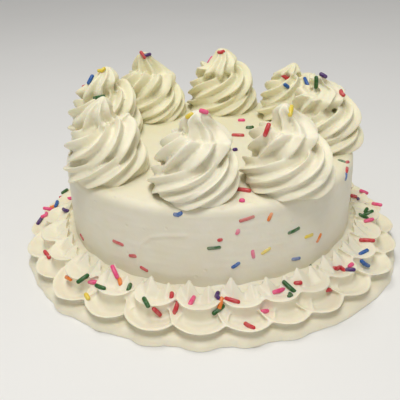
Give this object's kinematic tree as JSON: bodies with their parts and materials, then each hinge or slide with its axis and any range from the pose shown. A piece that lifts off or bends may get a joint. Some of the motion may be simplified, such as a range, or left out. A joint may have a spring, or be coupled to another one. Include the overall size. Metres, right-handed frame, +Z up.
{
  "type": "iced celebration cake",
  "caption": "Round buttercream cake with a ring of piped swirls on top, a piped petal border round its foot and coloured sprinkles, uncut and without a board.",
  "frame": {"origin": "middle of the flat underside, on the cake's axis", "axes": "+Z up out of the cake's top, -Y towards the front that the picture shows, +X to its right"},
  "size_m": [0.1925, 0.1919, 0.0895],
  "materials": {
    "smooth_icing": "scraped cream buttercream, matt with a soft sheen",
    "piped_icing": "piped cream buttercream, matt with a soft sheen",
    "sprinkles": "waxy sugar rods in red, pink, orange, yellow, green, blue and purple"
  },
  "bodies": {
    "root": {"cake": "smooth_icing", "border": "piped_icing", "swirl_front": "piped_icing", "swirl_front_right": "piped_icing", "swirl_right": "piped_icing", "swirl_back_right": "piped_icing", "swirl_back": "piped_icing", "swirl_back_left": "piped_icing", "swirl_left": "piped_icing", "swirl_front_left": "piped_icing"}
  },
  "joints": []
}
